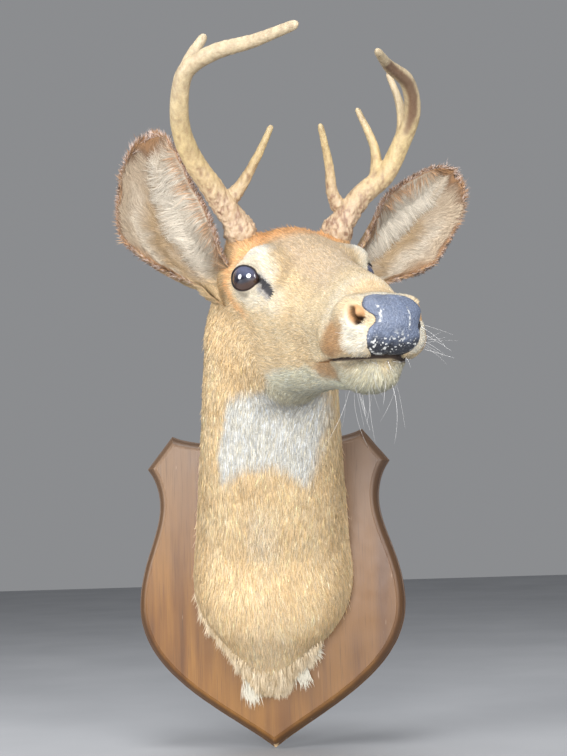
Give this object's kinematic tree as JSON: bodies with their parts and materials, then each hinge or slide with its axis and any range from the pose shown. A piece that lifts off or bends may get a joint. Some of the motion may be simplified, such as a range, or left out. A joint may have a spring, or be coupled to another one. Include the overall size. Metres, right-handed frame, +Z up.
{
  "type": "deer shoulder mount",
  "caption": "Mounted head and neck of a young whitetail buck with antlers, turned to its left, on a shield-shaped wooden board.",
  "frame": {"origin": "the flat back of the board, on its centre line, 175 mm above its bottom tip", "axes": "+Z up, +Y out of the board's back into the wall, +X to the deer's left; the deer looks along -Y, turned towards +X"},
  "size_m": [0.377, 0.4919, 0.6516],
  "materials": {
    "coat": "short tan hair, cream round the eyes, chin and throat",
    "ear": "short hair outside, long cream hair inside, dark rim",
    "nose": "dark pebbled skin, satin",
    "eye": "polished dark brown glass",
    "antler": "stands for antler bone: pale, grooved, browner at the root",
    "board": "walnut-brown stain, satin varnish, routed edge"
  },
  "bodies": {
    "root": {"shoulder": "coat", "neck": "coat", "head": "coat", "muzzle": "coat", "lower_jaw": "coat", "nose_pad": "nose", "eye_right": "eye", "ear_right": "ear", "antler_right_base": "antler", "antler_right_beam": "antler", "antler_right_top": "antler", "antler_right_brow_tine": "antler", "antler_right_stub_tine": "antler", "eye_left": "eye", "ear_left": "ear", "antler_left_base": "antler", "antler_left_beam": "antler", "antler_left_top": "antler", "antler_left_brow_tine": "antler", "antler_left_second_tine": "antler", "antler_left_third_tine": "antler", "board": "board"}
  },
  "joints": []
}
